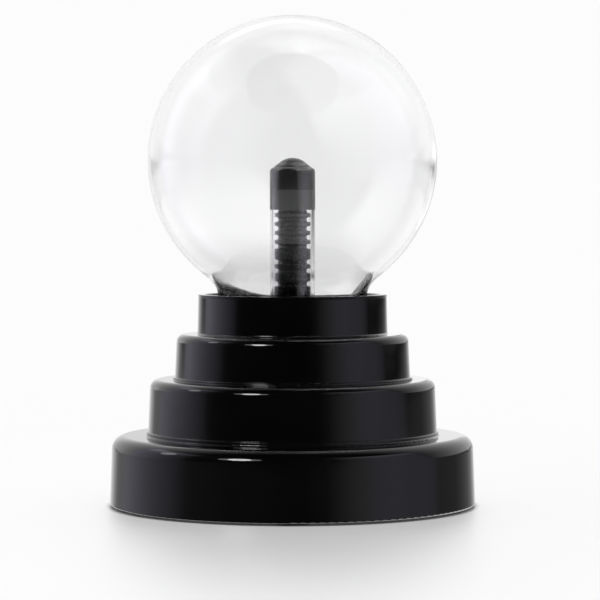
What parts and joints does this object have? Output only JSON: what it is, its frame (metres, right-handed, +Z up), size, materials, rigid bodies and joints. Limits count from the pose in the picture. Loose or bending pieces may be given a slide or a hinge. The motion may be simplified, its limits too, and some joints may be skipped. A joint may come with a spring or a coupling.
{
  "type": "plasma ball",
  "caption": "Clear glass globe with a neck on a round stepped black plastic base, with a ribbed electrode core under a black cap on a glass stem.",
  "frame": {"origin": "centre of the base on the surface that the feet stand on", "axes": "+Z up along the axis of the globe, -Y towards the front, +Y towards the switch and the power inlet"},
  "size_m": [0.1012, 0.1012, 0.1355],
  "materials": {
    "black_gloss": "glossy moulded ABS",
    "black_matte": "fine matt moulded plastic",
    "foot_rubber": "matt rubber",
    "clear_glass": "clear blown glass",
    "graphite": "black conductive coating",
    "core_rubber": "black moulded rubber, slightly glossy",
    "silicone": "black silicone",
    "plug_nylon": "natural nylon",
    "wire_red": "red insulation",
    "wire_black": "black insulation",
    "wire_yellow": "yellow insulation",
    "steel": "nickel-plated steel",
    "board": "green solder mask",
    "ferrite": "sintered ferrite",
    "copper_wire": "enamelled copper winding",
    "winding_tape": "yellow polyester tape",
    "aluminium": "extruded aluminium",
    "epoxy_black": "moulded epoxy",
    "cap_sleeve": "blue-black heat-shrink sleeve",
    "film_red": "dipped epoxy",
    "resistor_body": "lacquered resistor"
  },
  "bodies": {
    "base": {"base_shell": "black_gloss", "bottom_cover": "black_matte", "cover_screws": "steel", "rubber_feet": "foot_rubber", "globe": "clear_glass", "stem_tube": "clear_glass", "electrode_cap": "graphite", "ribbed_core": "core_rubber", "contact_button": "copper_wire", "stem_plug": "plug_nylon", "hv_lead": "wire_red", "neck_seal": "silicone", "circuit_board": "board", "board_screws": "steel", "transformer_core": "ferrite", "transformer_bobbin": "black_matte", "primary_winding": "copper_wire", "secondary_winding": "winding_tape", "power_transistor": "epoxy_black", "heat_sink": "aluminium", "heat_sink_screw": "steel", "electrolytic_capacitor": "cap_sleeve", "film_capacitor": "film_red", "resistors": "resistor_body", "timer_chip": "epoxy_black", "battery_springs": "steel", "contact_plates": "steel", "battery_lead_red": "wire_red", "battery_lead_black": "wire_black", "switch_frame": "steel", "switch_body": "epoxy_black", "switch_terminals": "steel", "switch_screws": "steel", "switch_leads": "wire_yellow", "dc_jack": "black_matte", "dc_jack_pin": "steel", "dc_jack_terminals": "steel", "jack_lead_red": "wire_red", "jack_lead_black": "wire_black"},
    "door": {"battery_door": "black_matte"},
    "slider": {"switch_slider": "black_matte"}
  },
  "joints": [
    {"name": "battery_door_hinge", "type": "hinge", "parent": "base", "child": "door", "pos_m": [0, -0.0223, 0.002], "axis": [-1, 0, 0], "range_deg": [0, 80]},
    {"name": "power_switch_slide", "type": "slide", "parent": "base", "child": "slider", "axis": [-0.9659, -0.2588, 0], "range_m": [0, 0.003]}
  ]
}
